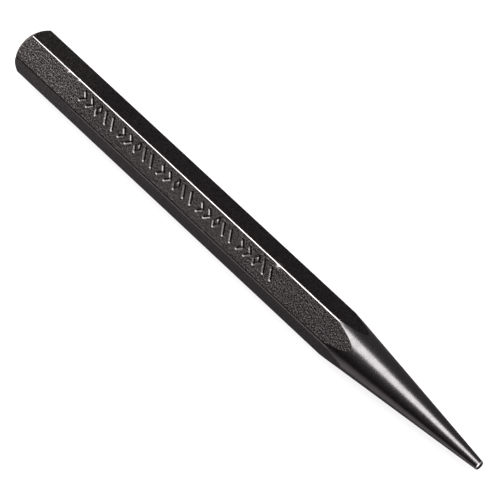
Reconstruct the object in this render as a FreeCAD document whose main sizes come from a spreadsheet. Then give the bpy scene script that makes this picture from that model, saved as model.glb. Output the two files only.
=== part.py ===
import FreeCAD, Part
import os
import Sketcher

# Solid taper punch: one bar of hexagonal tool steel, struck on its chamfered end, with a long round taper
# ground down to a small flat tip, and a row of plain marks stamped into one flat.
#
# Frame: +X runs from the struck end to the tip, +Z stands out of the stamped flat, and the origin lies in
# the opposite flat, under the middle of the bar. The body's own X axis is the axis of the bar.

# Driving dimensions, in millimetres and degrees, with what each one is.
DIMENSIONS = (
    ("across_flats", 11.1125, "hexagon bar, 7/16 in"),
    ("overall_length", 152.4, "struck face to tip face, 6 in"),
    ("long_edge_radius", 0.4, "rounding of the six long edges of the bar"),
    ("struck_face_diameter", 8.4, "flat left inside the struck end's chamfer"),
    ("struck_chamfer_angle", 37.4, "chamfer, measured from the struck face"),
    ("struck_rim_radius", 0.35, "rounding between the struck face and its chamfer"),
    ("taper_half_angle", 6.4, "ground taper, measured from the axis"),
    ("tip_diameter", 2.38, "end of the taper, 3/32 in"),
    ("tip_face_diameter", 2.08, "flat left inside the tip's chamfer"),
    ("tip_chamfer_length", 0.28, "tip's chamfer, along the axis"),
    ("turning_allowance", 1.0, "how far each ground profile runs outside the bar"),
    ("stamp_start", 21.3, "struck face to the first mark"),
    ("stamp_offset", 0.77, "first mark's centre line, off the flat's centre line"),
    ("stamp_skew", -0.42, "angle of the row of marks to the bar"),
    ("stamp_depth", 0.13, "how deep the marks are pressed"),
    ("stamp_height", 2.8, "mark height, across the flat"),
    ("stamp_stroke", 0.48, "width of a stamped line, measured across it"),
    ("chevron_lead", 1.1, "how far a chevron's point leads its ends"),
    ("slash_lean", 1.5, "how far the foot of a slanted stroke leads its top"),
    ("lozenge_half_width", 0.95, "lozenge mark, centre to side corner"),
    ("stamp_pitch", 2.46, "one mark to the next"),
    ("motif_spacing", 13.6, "one group of marks to the next"),
    ("motif_count", 5, "groups of marks in the row"),
)

HEXAGON_SIDES = 6
HALF_LENGTH = "Dims.overall_length / 2"
HALF_FLATS = "Dims.across_flats / 2"
BAR_RADIUS = f"({HALF_FLATS} / cos(30 deg))"
CLEAR_RADIUS = f"({BAR_RADIUS} + Dims.turning_allowance)"

STEP_FOLDER = "parts"
LENGTH_TOLERANCE = 0.001


def make_sheet(doc):
    """Put the driving dimensions in a spreadsheet, one named cell each."""
    sheet = doc.addObject("Spreadsheet::Sheet", "Dims")
    for row, (alias, value, meaning) in enumerate(DIMENSIONS, start=1):
        sheet.set(f"A{row}", alias)
        sheet.set(f"B{row}", str(value))
        sheet.set(f"C{row}", meaning)
        sheet.setAlias(f"B{row}", alias)
    doc.recompute()
    return sheet


def add_sketch(body, name, plane_role):
    """Make a sketch in the body, lying on one of the body's own origin planes."""
    sketch = body.newObject("Sketcher::SketchObject", name)
    plane = next(item for item in body.Origin.OriginFeatures if item.Role == plane_role)
    sketch.AttachmentSupport = [(plane, "")]
    sketch.MapMode = "FlatFace"
    return sketch


def add_outline(sketch, corners):
    """Draw a closed outline of straight edges. Each corner is two sheet expressions, for its x and its y."""
    points = [FreeCAD.Vector(sketch.evalExpression(x_term), sketch.evalExpression(y_term))
              for x_term, y_term in corners]
    edges = [sketch.addGeometry(Part.LineSegment(start, end))
             for start, end in zip(points, points[1:] + points[:1])]
    for edge, following in zip(edges, edges[1:] + edges[:1]):
        sketch.addConstraint(Sketcher.Constraint("Coincident", edge, 2, following, 1))
    for edge, point, (x_term, y_term) in zip(edges, points, corners):
        across = sketch.addConstraint(Sketcher.Constraint("DistanceX", -1, 1, edge, 1, point.x))
        sketch.setExpression(f"Constraints[{across}]", x_term)
        upward = sketch.addConstraint(Sketcher.Constraint("DistanceY", -1, 1, edge, 1, point.y))
        sketch.setExpression(f"Constraints[{upward}]", y_term)


def check_cut(feature, volume_before):
    """Stop if a feature that should cut the bar has taken nothing off it."""
    if feature.Shape.Volume >= volume_before:
        raise RuntimeError(f"{feature.Label} cuts nothing")


def pad_bar(body):
    """The hexagon bar, full length, with two of its flats level."""
    section = add_sketch(body, "HexagonSection", "YZ_Plane")
    add_outline(section, [(f"{BAR_RADIUS} * cos({corner * 360 / HEXAGON_SIDES} deg)",
                           f"{BAR_RADIUS} * sin({corner * 360 / HEXAGON_SIDES} deg)")
                          for corner in range(HEXAGON_SIDES)])
    bar = body.newObject("PartDesign::Pad", "Bar")
    bar.Profile = section
    bar.SideType = "Symmetric"
    bar.setExpression("Length", "Dims.overall_length")
    body.Document.recompute()
    return bar


def round_long_edges(body, bar):
    """Round the six long edges, as rolled bar is."""
    length = bar.evalExpression("Dims.overall_length")
    long_edges = [f"Edge{number}" for number, edge in enumerate(bar.Shape.Edges, start=1)
                  if abs(edge.Length - length) < LENGTH_TOLERANCE]
    rounding = body.newObject("PartDesign::Fillet", "LongEdges")
    rounding.Base = (bar, long_edges)
    rounding.setExpression("Radius", "Dims.long_edge_radius")
    body.Document.recompute()
    check_cut(rounding, bar.Shape.Volume)
    return rounding


def turn_profile(body, name, corners, before):
    """Take a profile off the bar all round its axis."""
    sketch = add_sketch(body, f"{name}Profile", "XZ_Plane")
    add_outline(sketch, corners)
    groove = body.newObject("PartDesign::Groove", name)
    groove.Profile = sketch
    groove.ReferenceAxis = (sketch, ["H_Axis"])
    groove.Angle = 360
    body.Document.recompute()
    check_cut(groove, before.Shape.Volume)
    return groove


def chamfer_struck_end(body, before):
    """Chamfer the struck end, so that hammering doesn't burr its corners."""
    face_radius = "Dims.struck_face_diameter / 2"
    chamfer_run = f"({CLEAR_RADIUS} - {face_radius}) * tan(Dims.struck_chamfer_angle * 1 deg)"
    return turn_profile(body, "StruckChamfer", [
        (f"-{HALF_LENGTH}", face_radius),
        (f"-{HALF_LENGTH} + {chamfer_run}", CLEAR_RADIUS),
        (f"-{HALF_LENGTH} - Dims.turning_allowance", CLEAR_RADIUS),
        (f"-{HALF_LENGTH} - Dims.turning_allowance", face_radius),
    ], before)


def grind_taper(body, before):
    """Grind the long taper, which runs out into the flats in six scallops, and chamfer its flat tip."""
    tip_radius = "Dims.tip_diameter / 2"
    face_radius = "Dims.tip_face_diameter / 2"
    taper_end = f"{HALF_LENGTH} - Dims.tip_chamfer_length"
    taper_run = f"({CLEAR_RADIUS} - {tip_radius}) / tan(Dims.taper_half_angle * 1 deg)"
    return turn_profile(body, "Taper", [
        (HALF_LENGTH, face_radius),
        (taper_end, tip_radius),
        (f"{taper_end} - {taper_run}", CLEAR_RADIUS),
        (f"{HALF_LENGTH} + Dims.turning_allowance", CLEAR_RADIUS),
        (f"{HALF_LENGTH} + Dims.turning_allowance", face_radius),
    ], before)


def round_struck_rim(body, before):
    """Round the circle where the struck face meets its chamfer."""
    face_x = -before.evalExpression(HALF_LENGTH)
    face_radius = before.evalExpression("Dims.struck_face_diameter / 2")
    rim = [f"Edge{number}" for number, edge in enumerate(before.Shape.Edges, start=1)
           if isinstance(edge.Curve, Part.Circle)
           and abs(edge.Curve.Center.x - face_x) < LENGTH_TOLERANCE
           and abs(edge.Curve.Radius - face_radius) < LENGTH_TOLERANCE]
    rounding = body.newObject("PartDesign::Fillet", "StruckRim")
    rounding.Base = (before, rim)
    rounding.setExpression("Radius", "Dims.struck_rim_radius")
    body.Document.recompute()
    check_cut(rounding, before.Shape.Volume)
    return rounding


def chevron_outline(place):
    """A bent stroke that points at the tip."""
    foot = f"Dims.stamp_pitch * {place}"
    slope = "(Dims.stamp_height / 2 / Dims.chevron_lead)"
    width = f"Dims.stamp_stroke * sqrt(1 + 1 / {slope}^2)"
    return [
        (foot, "0"),
        (f"{foot} + {width}", "0"),
        (f"{foot} + Dims.chevron_lead + {width}", "Dims.stamp_height / 2"),
        (f"{foot} + {width}", "Dims.stamp_height"),
        (foot, "Dims.stamp_height"),
        (f"{foot} + Dims.chevron_lead", "Dims.stamp_height / 2"),
    ]


def slash_outline(place):
    """A straight stroke whose foot is nearer the tip than its top."""
    foot = f"Dims.stamp_pitch * {place}"
    width = "Dims.stamp_stroke * sqrt(1 + (Dims.slash_lean / Dims.stamp_height)^2)"
    return [
        (f"{foot} + Dims.slash_lean", "0"),
        (f"{foot} + Dims.slash_lean + {width}", "0"),
        (f"{foot} + {width}", "Dims.stamp_height"),
        (foot, "Dims.stamp_height"),
    ]


def lozenge_outlines(place):
    """A lozenge drawn as a line: its outer outline, and the inner one that leaves its middle standing."""
    middle_x = f"(Dims.stamp_pitch * {place} + Dims.lozenge_half_width)"
    half_height = "Dims.stamp_height / 2"
    inset = f"Dims.stamp_stroke * sqrt(1 / Dims.lozenge_half_width^2 + 1 / ({half_height})^2)"
    return [[
        (f"{middle_x} - Dims.lozenge_half_width * {scale}", half_height),
        (middle_x, f"{half_height} - {half_height} * {scale}"),
        (f"{middle_x} + Dims.lozenge_half_width * {scale}", half_height),
        (middle_x, f"{half_height} + {half_height} * {scale}"),
    ] for scale in ("1", f"(1 - {inset})")]


def stamp_marks(body, before):
    """Press a row of plain marks into the upper flat: groups of chevrons, a lozenge and slanted strokes."""
    motif = add_sketch(body, "StampMotif", "XY_Plane")
    motif.setExpression("AttachmentOffset.Base.x", f"Dims.stamp_start - {HALF_LENGTH}")
    motif.setExpression("AttachmentOffset.Base.y", "Dims.stamp_offset - Dims.stamp_height / 2")
    motif.setExpression("AttachmentOffset.Base.z", HALF_FLATS)
    motif.setExpression("AttachmentOffset.Rotation.Angle", "Dims.stamp_skew * 1 deg")
    for place in (0, 1):
        add_outline(motif, chevron_outline(place))
    for outline in lozenge_outlines(2):
        add_outline(motif, outline)
    for place in (3, 4):
        add_outline(motif, slash_outline(place))
    stamp = body.newObject("PartDesign::Pocket", "Stamp")
    stamp.Profile = motif
    stamp.setExpression("Length", "Dims.stamp_depth")
    body.Document.recompute()
    check_cut(stamp, before.Shape.Volume)

    row = body.newObject("PartDesign::LinearPattern", "StampRow")
    row.Originals = [stamp]
    row.Direction = (motif, ["H_Axis"])
    row.Mode = "Spacing"
    row.setExpression("Offset", "Dims.motif_spacing")
    row.setExpression("Occurrences", "Dims.motif_count")
    body.Tip = row
    body.Document.recompute()
    check_cut(row, stamp.Shape.Volume)
    return row


def build_punch(doc):
    """The whole tool: one bar, rounded, chamfered, ground and stamped."""
    body = doc.addObject("PartDesign::Body", "Punch")
    body.Label = "punch"
    body.setExpression("Placement.Base.z", HALF_FLATS)
    bar = pad_bar(body)
    rounded = round_long_edges(body, bar)
    chamfered = chamfer_struck_end(body, rounded)
    ground = grind_taper(body, chamfered)
    rimmed = round_struck_rim(body, ground)
    stamp_marks(body, rimmed)
    return body


def check_document(doc, bodies):
    """Stop if any object failed to compute, or a body isn't one valid solid."""
    for item in doc.Objects:
        if {"Invalid", "Error"} & set(item.State):
            raise RuntimeError(f"{item.Label} failed: {item.State}")
    for body in bodies:
        if body.Shape.isNull() or not body.Shape.isValid() or len(body.Shape.Solids) != 1:
            raise RuntimeError(f"{body.Label} isn't one valid solid")


def main():
    doc = FreeCAD.newDocument("TaperPunch")
    make_sheet(doc)
    bodies = [build_punch(doc)]
    doc.recompute()
    check_document(doc, bodies)
    os.makedirs(STEP_FOLDER, exist_ok=True)
    for body in bodies:
        body.Shape.exportStep(os.path.join(STEP_FOLDER, f"{body.Label}.step"))
        print(body.Label, body.Shape.BoundBox, f"{body.Shape.Volume:.1f} mm3")


main()
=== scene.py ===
import math

import bpy
import numpy as np
from mathutils import Matrix, Vector


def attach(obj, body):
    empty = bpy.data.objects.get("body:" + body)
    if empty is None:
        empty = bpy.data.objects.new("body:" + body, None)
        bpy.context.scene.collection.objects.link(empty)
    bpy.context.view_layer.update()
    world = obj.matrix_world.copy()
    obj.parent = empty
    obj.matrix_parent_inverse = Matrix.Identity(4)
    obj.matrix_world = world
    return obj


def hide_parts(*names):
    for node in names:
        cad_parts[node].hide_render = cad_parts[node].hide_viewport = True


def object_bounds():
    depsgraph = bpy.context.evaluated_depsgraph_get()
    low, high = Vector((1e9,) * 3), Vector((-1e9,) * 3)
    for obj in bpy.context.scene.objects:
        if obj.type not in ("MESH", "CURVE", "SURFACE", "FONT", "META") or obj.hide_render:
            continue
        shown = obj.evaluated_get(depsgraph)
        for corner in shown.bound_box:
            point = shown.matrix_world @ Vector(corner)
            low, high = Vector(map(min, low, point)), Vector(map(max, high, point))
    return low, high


# The looks of a solid taper punch: hexagonal black-oxide steel with a ground round taper, a flat tip, a
# chamfered struck end and a row of plain stamped marks. Metres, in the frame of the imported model: +X from
# the struck end to the tip, +Z out of the stamped flat, the bar lying on the opposite flat.
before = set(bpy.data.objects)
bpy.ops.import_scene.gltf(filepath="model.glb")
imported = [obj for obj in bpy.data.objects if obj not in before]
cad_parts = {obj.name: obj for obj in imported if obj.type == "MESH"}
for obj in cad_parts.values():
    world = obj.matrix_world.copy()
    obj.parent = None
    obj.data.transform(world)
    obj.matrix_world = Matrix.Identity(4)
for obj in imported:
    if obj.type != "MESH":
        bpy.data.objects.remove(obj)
cad_low, cad_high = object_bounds()
NODE = "punch"
BODY = "root"

MM = 0.001
HEX = 6
SIXTH = math.radians(60)
SEED = 11

# The bar, as in the CAD part.
STRUCK_X = cad_low.x
TIP_X = cad_high.x
HALF_FLATS = (cad_high.z - cad_low.z) / 2
AXIS_Z = cad_low.z + HALF_FLATS
LONG_EDGE_RADIUS = 0.4 * MM
LONG_EDGE_CENTRE = (HALF_FLATS - LONG_EDGE_RADIUS) / math.cos(SIXTH / 2)
FLAT_HALF_WIDTH = (HALF_FLATS - LONG_EDGE_RADIUS) * math.tan(SIXTH / 2)
STRUCK_FACE_RADIUS = 4.2 * MM
STRUCK_CHAMFER = math.radians(37.4)
TAPER_HALF_ANGLE = math.radians(6.4)
TIP_RADIUS = 1.19 * MM
TIP_FACE_RADIUS = 1.04 * MM
TIP_CHAMFER_LENGTH = 0.28 * MM

# How far each small rounding between two turned surfaces reaches along both of them.
STRUCK_RIM_REACH = 0.14 * MM
CHAMFER_REACH = 0.12 * MM
SCALLOP_REACH = 0.16 * MM
TIP_REACH = 0.05 * MM
ROUNDING_STEPS = 4

# The stamped row, as in the CAD part.
MOTIF = ("chevron", "chevron", "lozenge", "slash", "slash")
MOTIF_COUNT = 5
MOTIF_SPACING = 13.6 * MM
STAMP_START = STRUCK_X + 21.3 * MM
STAMP_OFFSET = 0.77 * MM
STAMP_SKEW = math.radians(-0.42)
STAMP_DEPTH = 0.13 * MM
STAMP_HEIGHT = 2.8 * MM
STAMP_STROKE = 0.48 * MM
STAMP_PITCH = 2.46 * MM
CHEVRON_LEAD = 1.1 * MM
SLASH_LEAN = 1.5 * MM
LOZENGE_HALF_WIDTH = 0.95 * MM

# A pressed line's walls slope and push up a faint lip, and no two marks are struck equally hard.
STAMP_SOFTNESS = 0.18 * MM
STAMP_LIP = 0.012 * MM
STAMP_LIP_WIDTH = 0.12 * MM
LEAST_FORCE = 0.85
FORCE_SPREAD = 0.3

# The mesh: columns run along the bar, rows run round it. The stamped flat, its two long edges and the first
# columns beyond them have fine rows over the stretch that holds the marks. The rings that close each end
# lie at shares of its face's radius, and the other steps count the gaps between rows.
EDGE_STEPS = 8
PLAIN_FLAT_INSETS = tuple(
    inset * MM for inset in (0.0, 0.06, 0.15, 0.25, 0.35, 0.45, 0.55, 0.7, 0.9, 1.15, 1.5, 2.2))
HOLDING_GAP = 0.06 * MM
RELIEF_FADE = 4 * HOLDING_GAP
FINE_STEP = 0.1 * MM
FINE_PER_ROW = 8
FINE_START = STRUCK_X + 8 * MM
FINE_ROWS = 101
FINE_BEYOND = 2
FACE_RINGS = (0.08, 0.3, 0.55, 0.8, 0.96)
TIP_RINGS = (0.8, 0.5, 0.15)
CHAMFER_STEPS = 5
HEAD_STEPS = 8
SHANK_END_STEPS = 14
TAPER_STEPS = 26
TIP_CHAMFER_STEPS = 2

# Signs of handling, partly painted highlight: long edges rubbed smooth and bare, counted from the one on the
# +Y side of the stamped flat, which is the brightest because it is the edge that catches the key light, so
# its bareness is partly a painted highlight; a line of bare steel along one flat just inside its edge, which
# is a painted highlight line; dents in the long edges.
EDGE_BARE_AND_PAINTED_HIGHLIGHT = (0.52, 0.10, 0.15, 0.08, 0.12, 0.0)
EDGE_BARE_AT_HEAD = 0.5
EDGE_BARE_PATCHY = 0.5
EDGE_WAVER = 0.008 * MM
EDGE_WAVER_LENGTH = 1.6 * MM
BURNISH_WIDTH = 0.12 * MM
WEAR_FADE = 0.06 * MM
HIGHLIGHT_LINE_FLAT = 5
HIGHLIGHT_LINE_INSET = 0.14 * MM
HIGHLIGHT_LINE_WIDTH = 0.2 * MM
HIGHLIGHT_LINE_BARE = 0.85
HIGHLIGHT_LINE_FROM = 15 * MM
HIGHLIGHT_LINE_FULL = 26 * MM
NICK_BARE = 0.55
NICKS = (
    # roll about the bar, distance from the struck end, radius, depth
    (math.radians(28), 14.8 * MM, 0.28 * MM, 0.10 * MM),
    (math.radians(29), 18.3 * MM, 0.3 * MM, 0.07 * MM),
    (math.radians(30), 86.7 * MM, 0.6 * MM, 0.07 * MM),
    (math.radians(32), 52.4 * MM, 0.3 * MM, 0.03 * MM),
    (math.radians(-30), 66.7 * MM, 0.3 * MM, 0.05 * MM),
)

# Colours of the steel. A pair is the two ends of a mottled range.
OXIDE_DARK = (0.0036, 0.0030, 0.0032), (0.0034, 0.0031, 0.0030)
OXIDE_LIGHT = (0.0245, 0.0215, 0.0226), (0.0298, 0.0268, 0.0272)
# The colour of the painted glints: lighter specks that stand in for glints of the blasted grain.
OXIDE_PAINTED_GLINT = (0.070, 0.064, 0.058)
GROOVE_WALL = (0.048, 0.045, 0.045)
# The floors of the stamped grooves take a darker colour: painted shade in the recesses.
GROOVE_FLOOR_PAINTED_SHADE = (0.006, 0.0055, 0.0055)
BURNISHED_OXIDE = (0.032, 0.030, 0.030), (0.046, 0.043, 0.043)
GROUND_OXIDE = (0.0392, 0.0368, 0.0378), (0.0484, 0.0460, 0.0465)
GROUND_LINES = (0.0616, 0.0590, 0.0598)
FACED_OXIDE = (0.036, 0.034, 0.031), (0.092, 0.087, 0.077)
STRAW_OXIDE = (0.038, 0.036, 0.031), (0.066, 0.062, 0.051)
WORN_TIP_FACE = (0.10, 0.095, 0.095), (0.16, 0.15, 0.15)
BARE_TIP_RIM = (0.34, 0.33, 0.33), (0.48, 0.47, 0.46)
BARE_STEEL = (0.30, 0.285, 0.28)
GRAZING_TINT = (0.85, 0.85, 0.86, 1.0)

# The flats' surface: how much smoother burnished and stamped steel is, how deep its bumps are, how little
# of them burnishing and stamping leave, how much of the flats near the struck end and further on takes
# painted glints (lighter specks in the colour that stand in for glints of the grain), and where the
# denser painted glints, near the struck end, stop.
BURNISHED_GLOSS = 0.09
STAMPED_GLOSS = 0.18
GRAIN_DEPTH = 0.09 * MM
PIT_DEPTH = 0.03 * MM
GRAIN_LEFT = 0.1
HEAD_PAINTED_GLINT = 0.82
SHANK_PAINTED_GLINT = 0.16
HEAD_PAINTED_GLINT_END = STRUCK_X + 20.5 * MM
HEAD_PAINTED_GLINT_FADE = 2.4 * MM

# The ground taper and the turned ends: how many lines or rings there are to the millimetre, how deep lines
# and grain are, and how much of a turned end's shading comes from its patches rather than its rings.
GROUND_LINES_ALONG = 7
GROUND_LINES_ACROSS = 0.25
GROUND_LINES_DEPTH = 0.006 * MM
GROUND_GRAIN_DEPTH = 0.010 * MM
TURNED_RINGS = 1.5
TURNED_GRAIN_DEPTH = 0.012 * MM
PATCHES_SHARE = 0.4

# The picture: how the bar is turned to the camera, and the middle of the picture measured from the struck
# end. The bar is seen from above and from the tip's side.
VIEW_LEAN = math.radians(21.3)
VIEW_ROLL = math.radians(7.2)
PICTURE_ANGLE = math.radians(42.95)
CAMERA_DISTANCE = 0.9182
LENS = 277.8
SENSOR = 36.0
AIM_RIGHT = 0.0525
AIM_DOWN = 0.0484

# The light. A direction is given by its roll about the bar, from straight up towards +Y, and its lean
# towards the tip. The room brightens from one side to the other, while the cosine of the angle to its
# bright side goes from the first of two values to the second.
KEY_ROLL = math.radians(28)
KEY_LEAN = math.radians(-20)
KEY_WIDTH = math.radians(40)
KEY_LENGTH = math.radians(60)
KEY_RADIANCE = 17.0
KEY_DISTANCE = 1.6
ROOM_TINT = (1.0, 0.92, 0.94, 1.0)
ROOM_DIM = 0.05
ROOM_BRIGHT = 0.46
ROOM_BRIGHT_ROLL = math.radians(64)
ROOM_DIM_COSINE = -0.45
ROOM_BRIGHT_COSINE = 0.8
SOFT_LIGHTS = (
    # roll, lean, half-angle of the even part, half-angle of the faded part, radiance
    (-95, -8, 14, 28, 1.35),
    (-130, -27, 8, 22, 0.1),
    (-8, 50, 18, 50, 3.2),
    (-173, -53, 20, 45, 0.8),
)
WHITE = (1.0, 1.0, 1.0, 1.0)
FLOOR_REACH = 3.0
FLOOR_COLOUR = (0.1, 0.1, 0.1, 1.0)
FLOOR_ROUGHNESS = 0.9
FLOOR_GLOW = 0.82


def outward_at(roll):
    """The direction (y, height) that points out of the bar at a roll from straight up towards +Y."""
    return np.array([math.sin(roll), math.cos(roll)])


def along_flat(roll):
    """The direction (y, height) along the flat that faces that roll, towards the next flat."""
    return np.array([math.cos(roll), -math.sin(roll)])


def smoothstep(value):
    """Nothing below 0, one above 1, and a smooth rise between them."""
    clipped = np.clip(value, 0, 1)
    return clipped * clipped * (3 - 2 * clipped)


def flat_offsets(flat):
    """Where the columns of one flat stand, along the flat, from one long edge to the next."""
    if flat == 0:
        inner = FLAT_HALF_WIDTH - HOLDING_GAP
        steps = round(2 * inner / FINE_STEP)
        return np.concatenate([[-FLAT_HALF_WIDTH], np.linspace(-inner, inner, steps + 1), [FLAT_HALF_WIDTH]])
    left = [inset - FLAT_HALF_WIDTH for inset in PLAIN_FLAT_INSETS]
    return np.array(left + [0.0] + [-offset for offset in reversed(left)])


def hexagon_columns():
    """The rounded hexagon as points (y, height over the axis), with the flat or the long edge of each.

    Flats are numbered from the stamped one towards +Y. Long edge k lies between flats k and k + 1. The
    last result tells how burnished a column is: fully on a long edge, less with distance from one.
    """
    points, flats, edges, burnish = [], [], [], []
    for flat in range(HEX):
        turn = flat * SIXTH
        for offset in flat_offsets(flat):
            points.append(HALF_FLATS * outward_at(turn) + offset * along_flat(turn))
            flats.append(flat)
            edges.append(-1)
            burnish.append(max(0.0, 1 - (FLAT_HALF_WIDTH - abs(offset)) / BURNISH_WIDTH))
        centre = LONG_EDGE_CENTRE * outward_at(turn + SIXTH / 2)
        for step in range(1, EDGE_STEPS):
            points.append(centre + LONG_EDGE_RADIUS * outward_at(turn + SIXTH * step / EDGE_STEPS))
            flats.append(-1)
            edges.append(flat)
            burnish.append(1.0)
    return np.array(points), np.array(flats), np.array(edges), np.array(burnish)


def rounded_corner(before, corner, after, reach):
    """Points of a small rounding at a corner of the profile: a curve that touches both sides."""
    def towards(point):
        side = point - corner
        return corner + side * (reach / np.linalg.norm(side, axis=-1))[:, None]
    start, end = towards(before), towards(after)
    return [start * (1 - t) ** 2 + 2 * corner * t * (1 - t) + end * t ** 2
            for t in np.linspace(0, 1, ROUNDING_STEPS + 1)]


def between(start, end, steps):
    """Evenly spaced points strictly between two points of the profile."""
    return [start + (end - start) * step / steps for step in range(1, steps)]


def profile_rows(radii):
    """The bar's profile for every column: rows of (x, distance from the axis), and each row's zone.

    A column lies at its own distance from the axis, so the chamfer and the taper meet it at its own place.
    The last result is the first of the rows between which the fine rows lie.
    """
    def at(x, radius):
        """One row: a point (x, distance from the axis) for every column."""
        return np.stack(np.broadcast_arrays(x * np.ones_like(radii), radius * np.ones_like(radii)), axis=1)

    struck_rim = at(STRUCK_X, STRUCK_FACE_RADIUS)
    chamfer_end = at(STRUCK_X + (radii - STRUCK_FACE_RADIUS) * math.tan(STRUCK_CHAMFER), radii)
    taper_end = at(TIP_X - TIP_CHAMFER_LENGTH, TIP_RADIUS)
    taper_start = at(taper_end[:, 0] - (radii - TIP_RADIUS) / math.tan(TAPER_HALF_ANGLE), radii)
    tip_rim = at(TIP_X, TIP_FACE_RADIUS)

    face = [at(STRUCK_X, STRUCK_FACE_RADIUS * share) for share in FACE_RINGS]
    rim = rounded_corner(at(STRUCK_X, 0), struck_rim, chamfer_end, STRUCK_RIM_REACH)
    shoulder = rounded_corner(struck_rim, chamfer_end, taper_start, CHAMFER_REACH)
    fine = [at(FINE_START + row * FINE_PER_ROW * FINE_STEP, radii) for row in range(FINE_ROWS)]
    scallop = rounded_corner(chamfer_end, taper_start, taper_end, SCALLOP_REACH)
    nose = rounded_corner(taper_start, taper_end, tip_rim, TIP_REACH)
    tip = rounded_corner(taper_end, tip_rim, at(TIP_X, 0), TIP_REACH)
    tip_face = [at(TIP_X, TIP_FACE_RADIUS * share) for share in TIP_RINGS]

    half = ROUNDING_STEPS // 2
    before_fine = [
        ("face", face),
        ("chamfer", rim + between(rim[-1], shoulder[0], CHAMFER_STEPS) + shoulder[:half]),
        ("shank", shoulder[half:] + between(shoulder[-1], fine[0], HEAD_STEPS)),
    ]
    from_fine = [
        ("shank", fine),
        ("shank", between(fine[-1], scallop[0], SHANK_END_STEPS) + scallop[:half]),
        ("taper", scallop[half:] + between(scallop[-1], nose[0], TAPER_STEPS) + nose[:half]),
        ("tip_rim", nose[half:] + between(nose[-1], tip[0], TIP_CHAMFER_STEPS) + tip[:half]),
        ("tip_face", tip[half:] + tip_face),
    ]
    rows = [row for _, stretch in before_fine + from_fine for row in stretch]
    zones = [zone for zone, stretch in before_fine + from_fine for _ in stretch]
    return np.array(rows), zones, sum(len(stretch) for _, stretch in before_fine)


def add_fine_rows(rows, fine_first):
    """The rows with the fine ones put in, and the place of each plain row among them."""
    fine_rows, row_of = [], []
    for row, here in enumerate(rows):
        row_of.append(len(fine_rows))
        fine_rows.append(here)
        if fine_first <= row < fine_first + FINE_ROWS - 1:
            fine_rows.extend(between(here, rows[row + 1], FINE_PER_ROW))
    return np.array(fine_rows), row_of


def find_fine_columns(flats, edges):
    """Which columns have the fine rows."""
    fine = (flats == 0) | (edges == 0) | (edges == HEX - 1)
    fine[np.flatnonzero(flats == 1)[:FINE_BEYOND]] = True
    fine[np.flatnonzero(flats == HEX - 1)[-FINE_BEYOND:]] = True
    return fine


def mark_strokes():
    """Every stamped stroke as (mark number, start, end) in the plane of the skewed row."""
    half = STAMP_HEIGHT / 2
    low = STAMP_STROKE / 2
    high = STAMP_HEIGHT - low
    for mark in range(MOTIF_COUNT * len(MOTIF)):
        motif, place = divmod(mark, len(MOTIF))
        foot = motif * MOTIF_SPACING + place * STAMP_PITCH + STAMP_STROKE / 2
        if MOTIF[place] == "chevron":
            point = (foot + CHEVRON_LEAD, half)
            yield mark, (foot, low), point
            yield mark, point, (foot, high)
        elif MOTIF[place] == "lozenge":
            side = LOZENGE_HALF_WIDTH - STAMP_STROKE / 2
            middle = foot + side
            corners = [(middle - side, half), (middle, low), (middle + side, half), (middle, high)]
            for start, end in zip(corners, corners[1:] + corners[:1]):
                yield mark, start, end
        else:
            yield mark, (foot + SLASH_LEAN, low), (foot, high)


def stamp_relief(x, y):
    """The stamped flat's height over its plane at each point, and how pressed the steel is there."""
    cos, sin = math.cos(STAMP_SKEW), math.sin(STAMP_SKEW)
    from_x, from_y = x - STAMP_START, y - (STAMP_OFFSET - STAMP_HEIGHT / 2)
    along, across = from_x * cos + from_y * sin, from_y * cos - from_x * sin
    distance = np.full(x.shape, np.inf)
    force = np.ones(x.shape)
    forces = LEAST_FORCE + FORCE_SPREAD * np.random.RandomState(SEED).rand(MOTIF_COUNT * len(MOTIF))
    for mark, (start_x, start_y), (end_x, end_y) in mark_strokes():
        run_x, run_y = end_x - start_x, end_y - start_y
        share = ((along - start_x) * run_x + (across - start_y) * run_y) / (run_x ** 2 + run_y ** 2)
        share = np.clip(share, 0, 1)
        reach = np.hypot(along - start_x - share * run_x, across - start_y - share * run_y)
        force = np.where(reach < distance, forces[mark], force)
        distance = np.minimum(distance, reach)
    wall = STAMP_STROKE / 2
    pressed = np.clip((wall + STAMP_SOFTNESS - distance) / (2 * STAMP_SOFTNESS), 0, 1)
    lip = np.exp(-((distance - wall - STAMP_SOFTNESS) / STAMP_LIP_WIDTH) ** 2)
    return STAMP_LIP * lip - STAMP_DEPTH * force * pressed, pressed


def press_marks(position, on_bar):
    """Presses the marks into columns of the stamped flat. The result is how pressed each point is."""
    x, y = position[..., 0], position[..., 1]
    relief, pressed = stamp_relief(x, y)
    inside = smoothstep((FLAT_HALF_WIDTH - np.abs(y)) / RELIEF_FADE) * on_bar
    position[..., 2] += relief * inside
    return pressed * inside


def waver(x, seed):
    """A smooth random line along the bar, between 0 and 1."""
    knots = np.arange(STRUCK_X, TIP_X + EDGE_WAVER_LENGTH, EDGE_WAVER_LENGTH)
    return np.interp(x, knots, np.random.RandomState(seed).rand(len(knots)))


def wear_edge_and_paint_highlight(position, edge, outward, on_bar):
    """Lets the columns of one long edge waver. The result is how bare each point is; on the +Y edge of the
    stamped flat that bareness is partly a painted highlight.
    """
    x = position[..., 0]
    sink = EDGE_WAVER * waver(x, SEED + edge) * on_bar
    position[..., 1:] -= sink[..., None] * outward
    patchy = 1 + EDGE_BARE_PATCHY * (waver(x, SEED + HEX + edge) - 0.5)
    worn = EDGE_BARE_AT_HEAD + (1 - EDGE_BARE_AT_HEAD) * (x - STRUCK_X) / (TIP_X - STRUCK_X)
    return EDGE_BARE_AND_PAINTED_HIGHLIGHT[edge] * patchy * worn


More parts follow.
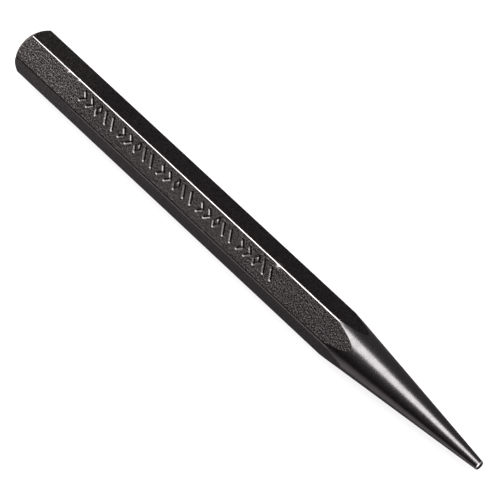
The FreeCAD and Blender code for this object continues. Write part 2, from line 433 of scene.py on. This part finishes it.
def paint_highlight_line(x, offsets):
    """How bare the flat with the painted highlight line is: a line of bare steel just inside its edge,
    painted as a highlight, which begins some way from the head.
    """
    line = np.exp(-((FLAT_HALF_WIDTH - HIGHLIGHT_LINE_INSET - offsets) / HIGHLIGHT_LINE_WIDTH) ** 2)
    return HIGHLIGHT_LINE_BARE * line * smoothstep((x - STRUCK_X - HIGHLIGHT_LINE_FROM) / (HIGHLIGHT_LINE_FULL - HIGHLIGHT_LINE_FROM))


def dent(position, on_bar, roll, distance, size, depth):
    """Sinks one nick into the bar. The result is how bare each point is."""
    normal = outward_at(roll)
    surface = min(LONG_EDGE_CENTRE + LONG_EDGE_RADIUS, HALF_FLATS / math.cos(roll))
    centre = np.array([STRUCK_X + distance, *(surface * normal)])
    near = np.exp(-(np.linalg.norm(position - centre, axis=-1) / size) ** 2) * on_bar
    position[..., 1:] -= (depth * near)[..., None] * normal
    return NICK_BARE * near


def handle(position, points, flats, edges, on_bar):
    """Marks, wear and painted highlights of some columns: moves their points, and tells how bare and how
    pressed each is; the bareness also carries painted highlights.
    """
    bareness_and_painted_highlight = np.zeros(position.shape[:2])
    pressed = np.zeros(position.shape[:2])
    stamped = np.flatnonzero(flats == 0)
    if len(stamped):
        here = position[:, stamped]
        pressed[:, stamped] = press_marks(here, on_bar[:, stamped])
        position[:, stamped] = here
    for edge in range(HEX):
        on = np.flatnonzero(edges == edge)
        outward = points[on] / np.linalg.norm(points[on], axis=1)[:, None]
        here = position[:, on]
        bareness_and_painted_highlight[:, on] = wear_edge_and_paint_highlight(here, edge, outward, on_bar[:, on])
        position[:, on] = here
    highlight_line_columns = np.flatnonzero(flats == HIGHLIGHT_LINE_FLAT)
    # A painted highlight line of bare steel along one flat.
    bareness_and_painted_highlight[:, highlight_line_columns] = paint_highlight_line(position[:, highlight_line_columns, 0], points[highlight_line_columns] @ along_flat(HIGHLIGHT_LINE_FLAT * SIXTH))
    for nick in NICKS:
        bareness_and_painted_highlight = np.maximum(bareness_and_painted_highlight, dent(position, on_bar, *nick))
    return bareness_and_painted_highlight * on_bar, pressed


def place_vertices(columns, fine, fine_rows, rows):
    """The vertices, the wear and painted highlights of each, and the vertex numbers of each column from the
    head to the tip.

    The last two vertices are the middles of the struck face and of the tip's face.
    """
    points, flats, edges, burnish = columns
    radii = np.hypot(points[:, 0], points[:, 1])
    outward = points / radii[:, None]
    vertices, runs = [], {}
    wear = {"burnished": [], "bared_and_painted_highlight": [], "pressed": []}
    count = 0
    for is_fine, block in ((True, fine_rows), (False, rows)):
        which = np.flatnonzero(fine == is_fine)
        x, radius = block[:, which, 0], block[:, which, 1]
        position = np.stack([x, radius * outward[which, 0], radius * outward[which, 1]], axis=-1)
        on_bar = np.clip(1 - (radii[which] - radius) / WEAR_FADE, 0, 1)
        bareness_and_painted_highlight, pressed = handle(position, points[which], flats[which], edges[which], on_bar)
        wear["burnished"].append((burnish[which] * on_bar).ravel())
        wear["bared_and_painted_highlight"].append(bareness_and_painted_highlight.ravel())
        wear["pressed"].append(pressed.ravel())
        vertices.append(position.reshape(-1, 3))
        numbers = count + np.arange(x.size).reshape(x.shape)
        runs.update(zip(which.tolist(), numbers.T))
        count += x.size
    poles = np.array([[STRUCK_X, 0, 0], [TIP_X, 0, 0]])
    vertices = np.concatenate(vertices + [poles]) + (0, 0, AXIS_Z)
    wear = {name: np.concatenate(blocks + [np.zeros(len(poles))]) for name, blocks in wear.items()}
    return vertices, wear, runs


def stitch(left, right):
    """Faces between two neighbouring columns: quads, or two fans where only one has the fine rows."""
    if len(left) == len(right):
        return list(zip(left, left[1:], right[1:], right))
    half = FINE_PER_ROW // 2
    if len(left) > len(right):
        fans = [(left[step], left[step + 1], right[step // half]) for step in range(FINE_PER_ROW)]
        return fans + [(left[half], right[1], right[0])]
    fans = [(left[step // half], right[step + 1], right[step]) for step in range(FINE_PER_ROW)]
    return fans + [(left[0], left[1], right[half])]


def join_columns(runs, fine, row_of, row_zones, struck_pole, tip_pole):
    """The faces of the bar, column by column from the head to the tip, and the zone of each."""
    faces, zones = [], []
    for column in range(len(runs)):
        beside = (column + 1) % len(runs)
        left, right = runs[column], runs[beside]
        faces.append((struck_pole, left[0], right[0]))
        zones.append(row_zones[0])
        for row, zone in enumerate(row_zones[:-1]):
            fine_run = slice(row_of[row], row_of[row + 1] + 1)
            plain_run = slice(row, row + 2)
            strip = stitch(left[fine_run if fine[column] else plain_run],
                           right[fine_run if fine[beside] else plain_run])
            faces.extend(strip)
            zones.extend([zone] * len(strip))
        faces.append((left[-1], tip_pole, right[-1]))
        zones.append(row_zones[-1])
    return faces, zones


def build_bar():
    """The punch as one closed mesh: vertices, faces, the zone of each face, and the wear and painted
    highlights of each vertex.
    """
    columns = points, flats, edges, _ = hexagon_columns()
    rows, row_zones, fine_first = profile_rows(np.hypot(points[:, 0], points[:, 1]))
    fine_rows, row_of = add_fine_rows(rows, fine_first)
    fine = find_fine_columns(flats, edges)
    vertices, wear, runs = place_vertices(columns, fine, fine_rows, rows)
    struck_pole, tip_pole = len(vertices) - 2, len(vertices) - 1
    faces, zones = join_columns(runs, fine, row_of, row_zones, struck_pole, tip_pole)
    return vertices, faces, zones, wear


def make_bar(materials):
    """The punch as one object, with a material for each zone."""
    vertices, faces, zones, wear = build_bar()
    mesh = bpy.data.meshes.new("punch_bar")
    mesh.from_pydata(vertices.tolist(), [], [[int(corner) for corner in face] for face in faces])
    mesh.polygons.foreach_set("use_smooth", [True] * len(mesh.polygons))
    for name, values in wear.items():
        attribute = mesh.attributes.new(name, "FLOAT", "POINT")
        attribute.data.foreach_set("value", values.astype(np.float32))
    slots = list(materials)
    for zone in slots:
        mesh.materials.append(materials[zone])
    mesh.polygons.foreach_set("material_index", [slots.index(zone) for zone in zones])
    mesh.update()
    bar = bpy.data.objects.new("punch_bar", mesh)
    bpy.context.scene.collection.objects.link(bar)
    return bar


class Surface:
    """A metal surface under construction: short calls that add nodes and join them."""

    def __init__(self, name):
        self.material = bpy.data.materials.new(name)
        self.material.use_nodes = True
        self.tree = self.material.node_tree
        self.shader = self.tree.nodes["Principled BSDF"]
        self.shader.inputs["Metallic"].default_value = 1.0
        self.where = self.tree.nodes.new("ShaderNodeTexCoord").outputs["Object"]
        self.place = self.mapped((1, 1, 1))

    def add(self, kind, inputs, **settings):
        """A node with its settings, and with a value or a link on each of the given inputs."""
        node = self.tree.nodes.new(kind)
        for name, value in settings.items():
            setattr(node, name, value)
        for name, value in inputs.items():
            if isinstance(value, bpy.types.NodeSocket):
                self.tree.links.new(value, node.inputs[name])
            else:
                node.inputs[name].default_value = value
        return node

    def mapped(self, factors, height=0.0):
        """The place on the object in millimetres, from a height over its origin, times a factor per axis."""
        scale = [factor / MM for factor in factors]
        inputs = {"Vector": self.where, "Scale": scale, "Location": (0, 0, -height * scale[2])}
        return self.add("ShaderNodeMapping", inputs).outputs["Vector"]

    def noise(self, scale, detail=2.0, roughness=0.5, at=None):
        """Cloudy noise, between 0 and 1, with so many clouds to the millimetre."""
        vector = self.place if at is None else at
        inputs = {"Vector": vector, "Scale": scale, "Detail": detail, "Roughness": roughness}
        return self.add("ShaderNodeTexNoise", inputs).outputs["Fac"]

    def rings(self, scale):
        """Uneven rings round the bar's axis, as a turning tool leaves, so many to the millimetre."""
        across = self.mapped((0, 1, 1), AXIS_Z)
        radius = self.add("ShaderNodeVectorMath", {0: across}, operation="LENGTH").outputs["Value"]
        inputs = {"W": radius, "Scale": scale, "Detail": 2.0}
        return self.add("ShaderNodeTexNoise", inputs, noise_dimensions="1D").outputs["Fac"]

    def cells(self, scale):
        """Soft round cells, so many to the millimetre."""
        inputs = {"Vector": self.place, "Scale": scale}
        return self.add("ShaderNodeTexVoronoi", inputs, feature="SMOOTH_F1").outputs["Distance"]

    def spread(self, value, low, high, out_low=0.0, out_high=1.0):
        """A value's range from low to high, stretched over another range and cut off at its ends."""
        inputs = {"Value": value, "From Min": low, "From Max": high, "To Min": out_low, "To Max": out_high}
        return self.add("ShaderNodeMapRange", inputs).outputs["Result"]

    def attribute(self, name):
        """One of the wear numbers of the mesh."""
        return self.add("ShaderNodeAttribute", {}, attribute_name=name).outputs["Fac"]

    def maths(self, operation, first, second):
        """A sum, product or the like of two numbers."""
        return self.add("ShaderNodeMath", {0: first, 1: second}, operation=operation).outputs[0]

    def blend(self, factor, first, second):
        """A mix of two colours. The mix node's colours are its inputs 6 and 7, and its output 2."""
        def colour(value):
            return value if isinstance(value, bpy.types.NodeSocket) else (*value, 1.0)
        inputs = {0: factor, 6: colour(first), 7: colour(second)}
        return self.add("ShaderNodeMix", inputs, data_type="RGBA").outputs[2]

    def bump(self, height, depth, strength=1.0, normal=None):
        """A bump whose height of one stands depth metres over the surface, on top of another bump."""
        inputs = {"Height": height, "Distance": depth, "Strength": strength}
        if normal is not None:
            inputs["Normal"] = normal
        return self.add("ShaderNodeBump", inputs).outputs["Normal"]

    def finish(self, colour, roughness, normal):
        """Joins the colour, the roughness and the bumps to the shader."""
        self.tree.links.new(colour, self.shader.inputs["Base Color"])
        self.tree.links.new(roughness, self.shader.inputs["Roughness"])
        self.tree.links.new(normal, self.shader.inputs["Normal"])
        return self.material


def blasted_oxide():
    """The flats: black oxide over a blasted grain with painted glints, burnished along the long edges,
    smooth in the marks, with painted shade in the marks' floors and painted highlights along one long edge
    and one flat.
    """
    s = Surface("blasted_black_oxide")
    s.shader.inputs["Specular Tint"].default_value = GRAZING_TINT
    clouds = s.noise(0.35, detail=3.0, roughness=0.55)
    tint = s.noise(0.9)
    grain = s.noise(2.7, detail=3.0, roughness=0.62)
    painted_glint_noise = s.noise(2.6, roughness=0.6)
    wear = s.noise(1.1, detail=4.0, roughness=0.7)
    pits = s.cells(2.0)
    burnished = s.attribute("burnished")
    bared_and_painted_highlight = s.attribute("bared_and_painted_highlight")
    pressed = s.attribute("pressed")

    along = s.add("ShaderNodeSeparateXYZ", {0: s.where}).outputs["X"]
    ragged = s.maths("ADD", along, s.spread(clouds, 0.3, 0.7, -HEAD_PAINTED_GLINT_FADE, HEAD_PAINTED_GLINT_FADE))
    head = s.spread(ragged, HEAD_PAINTED_GLINT_END - HEAD_PAINTED_GLINT_FADE, HEAD_PAINTED_GLINT_END + HEAD_PAINTED_GLINT_FADE, 1.0, 0.0)
    # Painted glints: sparse lighter specks in the oxide colour, dense near the struck end and sparse further
    # on.
    painted_glints = s.maths("MULTIPLY", s.spread(painted_glint_noise, 0.50, 0.64),
                       s.spread(head, 0.0, 1.0, SHANK_PAINTED_GLINT, HEAD_PAINTED_GLINT))

    dark = s.blend(s.spread(tint, 0.42, 0.58), *OXIDE_DARK)
    light = s.blend(s.spread(clouds, 0.35, 0.65), *OXIDE_LIGHT)
    oxide = s.blend(s.spread(grain, 0.41, 0.59), dark, light)
    oxide = s.blend(painted_glints, oxide, OXIDE_PAINTED_GLINT)
    stamped = s.spread(pressed, 0.0, 0.3)
    # The grooves' floors go darker than their walls: painted shade in the recesses.
    groove_with_painted_shade = s.blend(s.spread(pressed, 0.6, 1.0), GROOVE_WALL, GROOVE_FLOOR_PAINTED_SHADE)
    oxide = s.blend(stamped, oxide, groove_with_painted_shade)
    edge = s.blend(s.spread(wear, 0.4, 0.62), *BURNISHED_OXIDE)
    # Bare steel: real wear at nicks and edges, and painted highlight on the +Y long edge and the line along
    # flat 5.
    colour = s.blend(bared_and_painted_highlight, s.blend(burnished, oxide, edge), BARE_STEEL)

    rough = s.spread(grain, 0.3, 0.7, 0.27, 0.39)
    smooth = s.maths("ADD", s.maths("MULTIPLY", burnished, BURNISHED_GLOSS),
                     s.maths("MULTIPLY", stamped, STAMPED_GLOSS))
    roughness = s.maths("SUBTRACT", rough, smooth)
    grainy = s.spread(s.maths("MAXIMUM", burnished, stamped), 0.0, 1.0, 1.0, GRAIN_LEFT)
    normal = s.bump(grain, GRAIN_DEPTH, grainy, s.bump(pits, PIT_DEPTH, grainy))
    return s.finish(colour, roughness, normal)


def ground_oxide():
    """The taper: ground round, so its fine lines run round the bar, then blackened."""
    s = Surface("ground_black_oxide")
    stretched = s.mapped((GROUND_LINES_ALONG, GROUND_LINES_ACROSS, GROUND_LINES_ACROSS))
    lines = s.noise(1.0, detail=3.0, roughness=0.6, at=stretched)
    patches = s.noise(0.5, detail=3.0, roughness=0.6)
    speckle = s.noise(3.2, detail=3.0, roughness=0.6)
    colour = s.blend(s.spread(patches, 0.35, 0.65), *GROUND_OXIDE)
    colour = s.blend(s.spread(lines, 0.3, 0.7, 0.0, 0.5), colour, GROUND_LINES)
    # Bare steel: real wear at nicks and edges, and painted highlight where the +Y long edge runs in.
    colour = s.blend(s.attribute("bared_and_painted_highlight"), colour, BARE_STEEL)
    roughness = s.spread(speckle, 0.3, 0.7, 0.22, 0.32)
    normal = s.bump(lines, GROUND_LINES_DEPTH, 1.0, s.bump(speckle, GROUND_GRAIN_DEPTH))
    return s.finish(colour, roughness, normal)


def turned_end(name, colours, smoothest, roughest, ring_depth):
    """A turned end, with the rings that turning left, in a patchy colour."""
    s = Surface(name)
    patches = s.noise(0.8, detail=3.0, roughness=0.6)
    grain = s.noise(3.0, detail=3.0, roughness=0.6)
    rings = s.rings(TURNED_RINGS)
    shade = s.maths("ADD", s.spread(patches, 0.35, 0.65, 0.0, PATCHES_SHARE),
                    s.spread(rings, 0.35, 0.65, 0.0, 1 - PATCHES_SHARE))
    roughness = s.spread(grain, 0.3, 0.7, smoothest, roughest)
    normal = s.bump(grain, TURNED_GRAIN_DEPTH, 1.0, s.bump(rings, ring_depth))
    return s.finish(s.blend(shade, *colours), roughness, normal)


def bar_direction(roll, lean):
    """The direction at a roll about the bar and a lean towards the tip."""
    return Vector((math.sin(lean), math.cos(lean) * math.sin(roll), math.cos(lean) * math.cos(roll)))


def add_camera():
    """The camera, with the struck end at the picture's upper left and the tip at its lower right."""
    to_camera = bar_direction(VIEW_ROLL, VIEW_LEAN)
    axis = Vector((1, 0, 0))
    bar_in_picture = (axis - axis.dot(to_camera) * to_camera).normalized()
    across_bar = to_camera.cross(bar_in_picture)
    right = math.cos(PICTURE_ANGLE) * bar_in_picture + math.sin(PICTURE_ANGLE) * across_bar
    up = -math.sin(PICTURE_ANGLE) * bar_in_picture + math.cos(PICTURE_ANGLE) * across_bar
    aim = Vector((STRUCK_X, 0, AXIS_Z)) + AIM_RIGHT * right - AIM_DOWN * up
    data = bpy.data.cameras.new("camera")
    data.lens = LENS
    data.sensor_width = SENSOR
    camera = bpy.data.objects.new("camera", data)
    turn = Matrix((right, up, to_camera)).transposed().to_4x4()
    camera.matrix_world = Matrix.Translation(aim + CAMERA_DISTANCE * to_camera) @ turn
    bpy.context.scene.collection.objects.link(camera)
    bpy.context.scene.camera = camera


def add_key_light():
    """A soft box over the bar. Its angles are seen from the bar, across the bar's axis and along it."""
    direction = bar_direction(KEY_ROLL, KEY_LEAN)
    data = bpy.data.lights.new("key", "AREA")
    data.shape = "RECTANGLE"
    data.size = 2 * KEY_DISTANCE * math.tan(KEY_WIDTH / 2)
    data.size_y = 2 * KEY_DISTANCE * math.tan(KEY_LENGTH / 2)
    data.energy = KEY_RADIANCE * math.pi * data.size * data.size_y
    light = bpy.data.objects.new("key", data)
    along = (Vector((1, 0, 0)) - direction.x * direction).normalized()
    across = along.cross(direction)
    turn = Matrix((across, along, direction)).transposed().to_4x4()
    light.matrix_world = Matrix.Translation(Vector((0, 0, AXIS_Z)) + KEY_DISTANCE * direction) @ turn
    light.visible_camera = False
    bpy.context.scene.collection.objects.link(light)


def add_room():
    """The room: white where the camera sees it, and a dim surrounding with soft lights for the bar."""
    world = bpy.data.worlds.new("room")
    bpy.context.scene.world = world
    world.use_nodes = True
    tree = world.node_tree

    def node(kind, *inputs, **settings):
        """A node with its settings, and with a value or a link on each of its first inputs."""
        made = tree.nodes.new(kind)
        for name, value in settings.items():
            setattr(made, name, value)
        for number, value in enumerate(inputs):
            if isinstance(value, bpy.types.NodeSocket):
                tree.links.new(value, made.inputs[number])
            else:
                made.inputs[number].default_value = value
        return made

    outward = node("ShaderNodeTexCoord").outputs["Generated"]

    def facing(direction):
        """The cosine of the angle between the way out and a direction."""
        return node("ShaderNodeVectorMath", outward, direction, operation="DOT_PRODUCT").outputs["Value"]

    strength = node("ShaderNodeMapRange", facing(bar_direction(ROOM_BRIGHT_ROLL, 0)),
                    ROOM_DIM_COSINE, ROOM_BRIGHT_COSINE, ROOM_DIM, ROOM_BRIGHT).outputs[0]
    for *angles, radiance in SOFT_LIGHTS:
        roll, lean, even, faded = (math.radians(angle) for angle in angles)
        lobe = node("ShaderNodeMapRange", facing(bar_direction(roll, lean)), math.cos(faded),
                    math.cos(even), 0.0, radiance, interpolation_type="SMOOTHSTEP").outputs[0]
        strength = node("ShaderNodeMath", strength, lobe, operation="ADD").outputs[0]
    lit = tree.nodes["Background"]
    lit.inputs["Color"].default_value = ROOM_TINT
    tree.links.new(strength, lit.inputs["Strength"])
    seen = node("ShaderNodeBackground", WHITE, 1.0)
    to_camera = node("ShaderNodeLightPath").outputs["Is Camera Ray"]
    either = node("ShaderNodeMixShader", to_camera, lit.outputs[0], seen.outputs[0])
    tree.links.new(either.outputs[0], tree.nodes["World Output"].inputs["Surface"])


def add_floor():
    """A pale floor that glows enough to stay near white. It is left out of the bar's reflections."""
    low, high = -FLOOR_REACH, FLOOR_REACH
    corners = [(x, y, cad_low.z) for x, y in ((low, low), (high, low), (high, high), (low, high))]
    mesh = bpy.data.meshes.new("floor")
    mesh.from_pydata(corners, [], [(0, 1, 2, 3)])
    material = bpy.data.materials.new("floor")
    material.use_nodes = True
    shader = material.node_tree.nodes["Principled BSDF"]
    shader.inputs["Base Color"].default_value = FLOOR_COLOUR
    shader.inputs["Roughness"].default_value = FLOOR_ROUGHNESS
    shader.inputs["Emission Color"].default_value = WHITE
    shader.inputs["Emission Strength"].default_value = FLOOR_GLOW
    mesh.materials.append(material)
    floor = bpy.data.objects.new("floor", mesh)
    floor.visible_glossy = False
    floor.visible_shadow = False
    bpy.context.scene.collection.objects.link(floor)


bar = make_bar({
    "face": turned_end("faced_black_oxide", FACED_OXIDE, 0.28, 0.40, 0.030 * MM),
    "chamfer": turned_end("straw_black_oxide", STRAW_OXIDE, 0.36, 0.48, 0.012 * MM),
    "shank": blasted_oxide(),
    "taper": ground_oxide(),
    "tip_rim": turned_end("bare_tip_rim", BARE_TIP_RIM, 0.30, 0.40, 0.0),
    "tip_face": turned_end("worn_tip_face", WORN_TIP_FACE, 0.30, 0.42, 0.006 * MM),
})
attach(bar, BODY)
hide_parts(NODE)

add_floor()
add_room()
add_key_light()
add_camera()
bpy.context.scene.view_settings.view_transform = "Standard"
